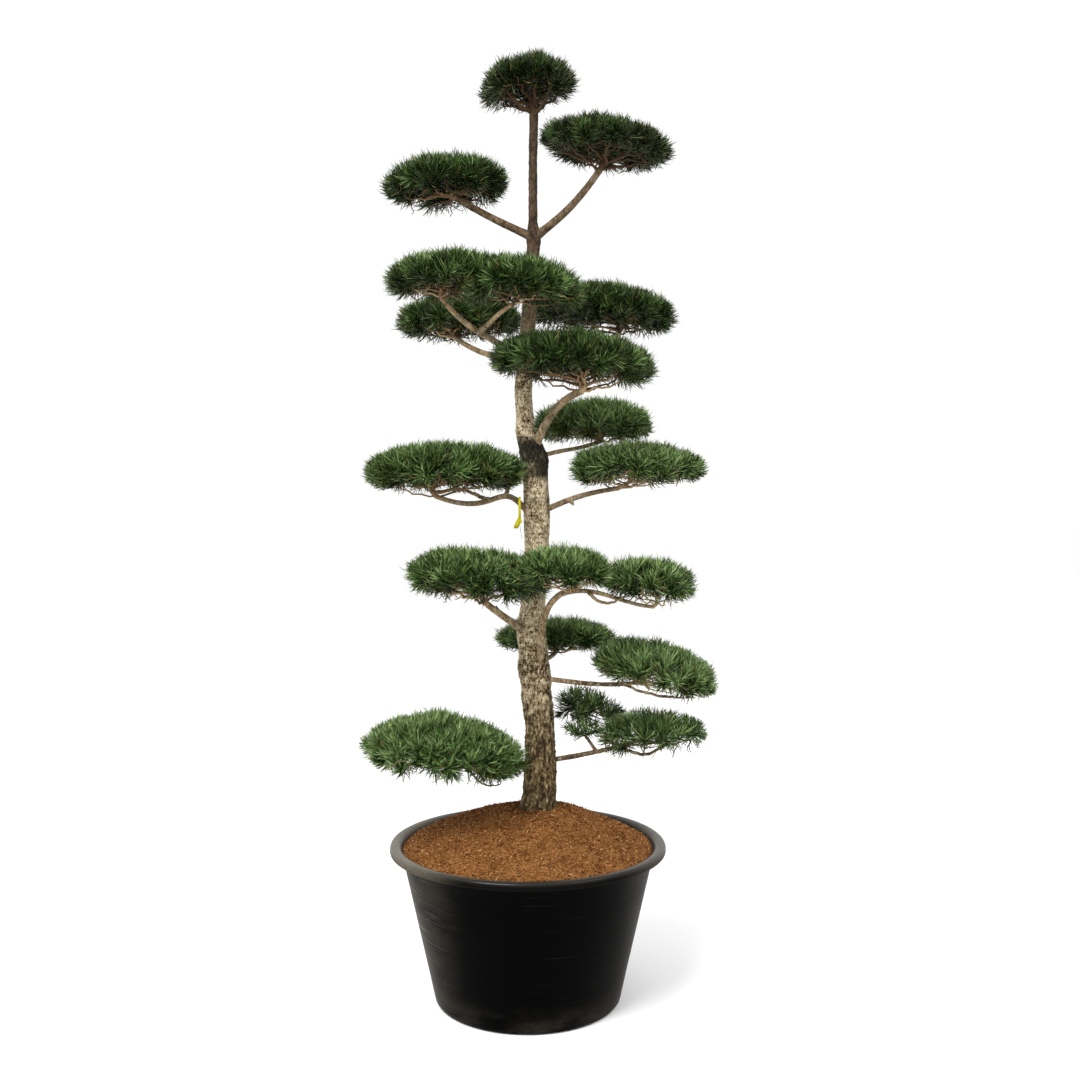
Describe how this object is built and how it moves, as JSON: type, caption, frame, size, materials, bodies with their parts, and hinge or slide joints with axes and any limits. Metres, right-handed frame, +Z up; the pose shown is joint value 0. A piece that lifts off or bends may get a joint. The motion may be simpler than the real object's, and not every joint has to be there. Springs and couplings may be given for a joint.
{
  "type": "potted austrian pine",
  "caption": "Tall Austrian pine clipped into flat cloud pads on bare boughs, in a round black nursery pot heaped with red-brown soil.",
  "frame": {"origin": "middle of the pot's flat underside", "axes": "+Z up along the trunk, -Y towards the side the picture shows, +X to the right in the picture"},
  "size_m": [1.272, 1.0031, 3.4336],
  "materials": {
    "needles": "matt green needles",
    "bark": "grey-brown furrowed bark",
    "pot_plastic": "semi-matt black, dusty at the lip and the foot",
    "soil": "loose red-brown fibre and crumbs",
    "ribbon": "thin yellow tape"
  },
  "bodies": {
    "root": {"bough_fifth_back": "bark", "bough_fifth_front": "bark", "bough_fourth_left": "bark", "bough_fourth_right": "bark", "bough_low_back": "bark", "bough_low_left": "bark", "bough_low_right": "bark", "bough_second_back": "bark", "bough_second_right": "bark", "bough_sixth_back_left": "bark", "bough_sixth_back_right": "bark", "bough_sixth_front": "bark", "bough_sixth_left": "bark", "bough_third_front": "bark", "bough_third_left": "bark", "bough_third_right": "bark", "bough_top_left": "bark", "bough_top_right": "bark", "pad_fifth_back": "needles", "pad_fifth_front": "needles", "pad_fourth_left": "needles", "pad_fourth_right": "needles", "pad_leader": "needles", "pad_low_back": "needles", "pad_low_left": "needles", "pad_low_right": "needles", "pad_second_back": "needles", "pad_second_right": "needles", "pad_sixth_back_left": "needles", "pad_sixth_back_right": "needles", "pad_sixth_front": "needles", "pad_sixth_left": "needles", "pad_third_front": "needles", "pad_third_left": "needles", "pad_third_right": "needles", "pad_top_left": "needles", "pad_top_right": "needles", "pot": "pot_plastic", "ribbon": "ribbon", "soil": "soil", "trunk": "bark"}
  },
  "joints": []
}
